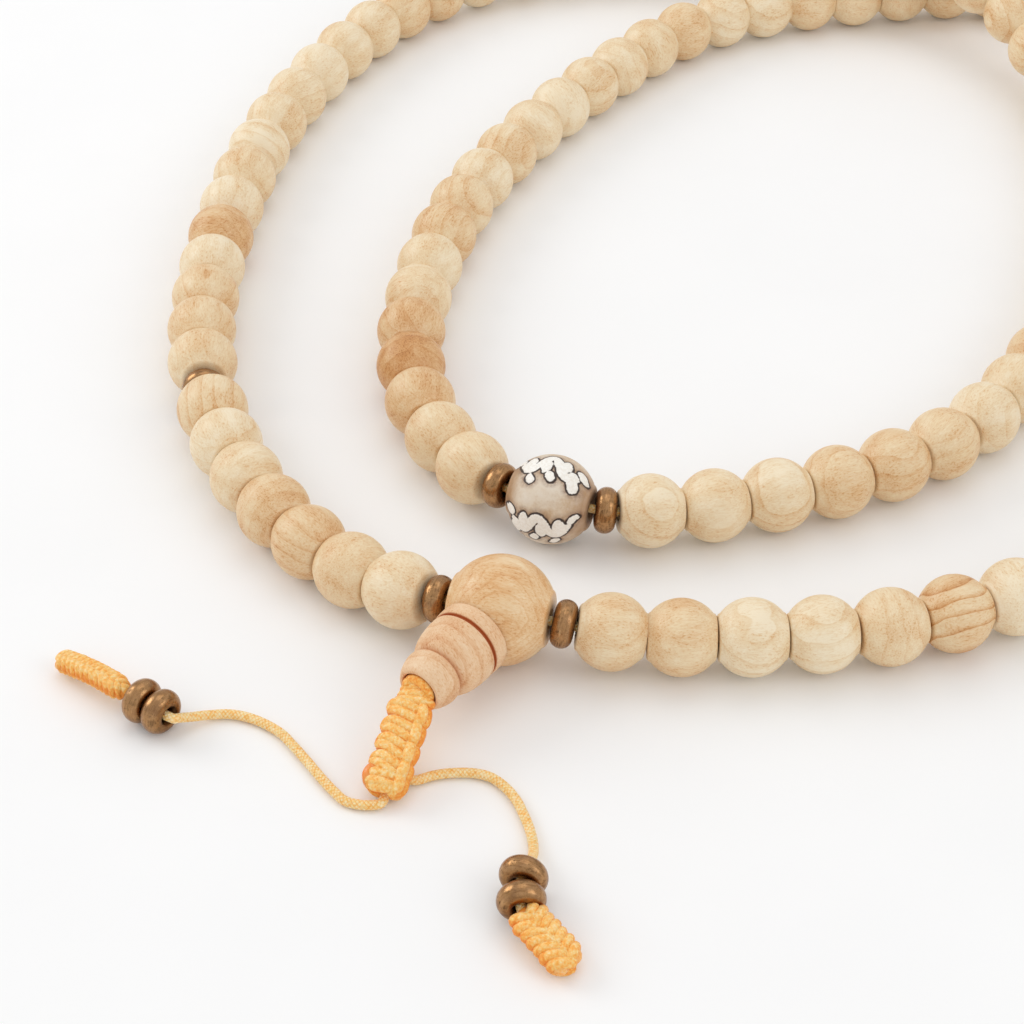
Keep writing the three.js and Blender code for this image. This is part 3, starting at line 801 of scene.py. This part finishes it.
guru = turned(ball_outline(GURU_RADIUS, GURU_HALF_PITCH - 0.15, GURU_RADIUS, BORE, 40), 80)
guru = with_timber(guru, 0.26, True, 13.0, figured=0.13, turn=math.radians(-121))
guru = placed(guru, frame_along(guru_across), GURU)
cut_third_hole(piece("guru_ball", guru, guru_wood, "strand", ["guru_bead"]))

SEAT = GURU_RADIUS + 0.17


def on_seat(radius):
    return (radius, math.sqrt(SEAT**2 - radius**2))


TOWER_OUTLINE = [
    # the foot, seated on the guru bead
    on_seat(1.4), on_seat(2.4), on_seat(3.4), on_seat(4.2), on_seat(4.6), (4.75, 5.5), (4.84, 5.9),
    (4.88, 6.6), (4.87, 7.3), (4.8, 7.52), (4.66, 7.6),
    # the burnt groove
    (4.42, 7.63), (4.36, 7.7), (4.36, 7.93), (4.42, 8.0), (4.64, 8.03),
    # the barrel, down to the crease
    (4.76, 8.12), (4.81, 8.5), (4.8, 9.2), (4.74, 10.0), (4.62, 10.9), (4.42, 11.7), (4.14, 12.4),
    (3.82, 12.85), (3.44, 13.1), (3.14, 13.2), (3.1, 13.28),
    # the nozzle and its mouth
    (3.3, 13.36), (3.56, 13.56), (3.75, 13.95), (3.8, 14.4), (3.76, 14.9), (3.62, 15.5), (3.38, 16.2),
    (3.08, 16.75), (2.88, 16.98), (2.72, 17.08), (2.52, 17.08), (2.38, 16.95), (2.3, 16.4), (2.1, 16.0),
    (1.4, 15.8),
]
tower = with_timber(turned(TOWER_OUTLINE, 72), 0.2, False, 20.0)
out, high = np.hypot(*tower["verts"].T[:2]), tower["verts"][:, 2]
groove = (high > 7.58) & (high < 8.05) & (out < 4.7)
# Painted shade: the inside of the mouth and the crease before the nozzle get the burnt colour too; only the
# groove is really burnt.
mouth = (high > 15.5) & (out < 2.45)
crease = np.clip(1 - np.abs(high - 13.22) / 0.2, 0, 1) * 0.3
tower["values"]["burnt"] = np.where(groove, 1.0, np.where(mouth, 0.8, crease))
tower = placed(tower, frame_along(tower_axis), GURU)
piece("tower_turning", tower, tower_wood, "tower", ["tower_bead"], 35)


# ---- marker bead ----
CLEAR_OF_FIGURES = 9.0


def stroke_distance(points, line, radius):
    """How far outside a stroke of this half-width each point lies, negative inside it."""
    nearest = np.full(len(points), 1e9)
    for a, b, ra, rb in zip(line, line[1:], radius, radius[1:]):
        t = np.clip((points - a) @ (b - a) / ((b - a) @ (b - a)), 0, 1)
        away = np.linalg.norm(points - a - t[:, None] * (b - a), axis=1)
        nearest = np.minimum(nearest, away - (ra + (rb - ra) * t))
    return nearest


def vine():
    """A scrolling vine with leaves and berries, as strokes of (points, half-widths) in mm."""
    s = np.linspace(-3.7, 3.2, 28)
    sway = 1.35 * np.sin((s + 3.7) * 1.3)
    strokes = [(np.stack([s, sway], 1), np.linspace(0.5, 0.7, 28))]
    for at, side in ((-3.2, 1), (-1.0, -1), (1.5, 1), (2.9, -1)):
        root = np.array([at, 1.35 * math.sin((at + 3.7) * 1.3)])
        bend = np.linspace(0, 1, 9)
        leaf = root + np.stack([1.3 * bend - 0.9 * bend**2, side * -1.9 * bend], 1)
        strokes.append((leaf, 0.72 * np.sin(0.7 + 2.1 * bend) + 0.08))
    for berry, size in (((4.2, -0.6), 0.66), ((-2.2, 2.75), 0.5), ((0.4, 2.1), 0.56), ((-4.3, -1.1), 0.5)):
        centre = np.array(berry)
        strokes.append((np.array([centre - [0.15, 0.22], centre + [0.15, 0.22]]), np.array([size, size])))
    return strokes


def figure_distance(x, y, z):
    """How far outside the nearest figure each point of the marker bead lies. The vine runs round it four
    times, every second one turned end for end."""
    out = np.hypot(x, y)
    angle = np.arctan2(y, x)
    strokes = vine()
    figure = np.full(len(out), CLEAR_OF_FIGURES)
    for row in range(4):
        around = (angle - row * QUARTER + math.pi) % TURN - math.pi
        flip = -1 if row % 2 else 1
        points = np.stack([z * flip, around * (0.35 * MARKER_RADIUS + 0.65 * out)], 1)
        for line, radius in strokes:
            figure = np.minimum(figure, stroke_distance(points, line, radius))
    figure[out < BORE + 0.5] = CLEAR_OF_FIGURES
    return figure


def marker_bead():
    half = MARKER_HALF_PITCH - 0.4
    made = turned(ball_outline(MARKER_RADIUS, half, MARKER_RADIUS, BORE, steps=130), 300)
    x, y, z = made["verts"].T
    figure = figure_distance(x, y, z)
    raised = np.clip(0.5 - figure / 0.24, 0, 1)
    lift = 1 + 0.012 * raised - 0.008
    made["values"]["figure"] = figure
    made["values"]["shoulder"] = np.clip((np.abs(z) - half * 0.55) / (half * 0.4), 0, 1)
    made["verts"] = made["verts"] * np.stack([lift, lift, np.ones_like(lift)], 1)
    axes = frame_along(second[0] - first[-1])
    made = placed(made, axes, (first[-1] + second[0]) / 2)
    piece("inlaid_ball", made, bone, "marker_bead", ["marker_bead"], 80)


marker_bead()

# ---- floor and light ----
def pale_floor(half_side):
    r = Recipe("pale_floor", Roughness=0.7, Specular_IOR_Level=0.2)
    dust = r.noise(r.node("TexCoord", {}, "Object"), 30.0, 4)
    r.set(Base_Color=r.mix(r.span(dust, 0.3, 0.7), srgb("f7f7f7"), srgb("f9f9f9")))
    mesh = bpy.data.meshes.new("floor")
    corners = [(x * half_side, y * half_side, 0) for x, y in ((-1, -1), (1, -1), (1, 1), (-1, 1))]
    mesh.from_pydata(corners, [], [(0, 1, 2, 3)])
    mesh.materials.append(r.material)
    floor = bpy.data.objects.new("floor", mesh)
    bpy.context.scene.collection.objects.link(floor)


def softbox(name, towards, away, size, power):
    """A round area light that far from the guru bead, in metres, and facing it."""
    light = bpy.data.lights.new(name, "AREA")
    light.shape = "DISK"
    light.size = size
    light.energy = power
    made = bpy.data.objects.new(name, light)
    turned_to = Matrix(frame_along(towards).tolist()).to_4x4()
    made.matrix_world = Matrix.Translation((in_frame(GURU) + unit(towards) * away).tolist()) @ turned_to
    bpy.context.scene.collection.objects.link(made)


pale_floor(6)
softbox("key_left", (-0.81, 0.4, 0.55), 0.9, 0.5, 1.7)
softbox("fill_right", (0.76, -0.37, 0.62), 0.9, 0.5, 0.8)
softbox("overhead", (0.1, 0.35, 1.0), 1.2, 0.9, 1.2)
world = bpy.data.worlds.new("studio")
world.use_nodes = True
sky = world.node_tree.nodes["Background"]
sky.inputs["Color"].default_value = (1, 1, 1, 1)
sky.inputs["Strength"].default_value = 0.8
bpy.context.scene.world = world
bpy.context.scene.view_settings.view_transform = "Standard"
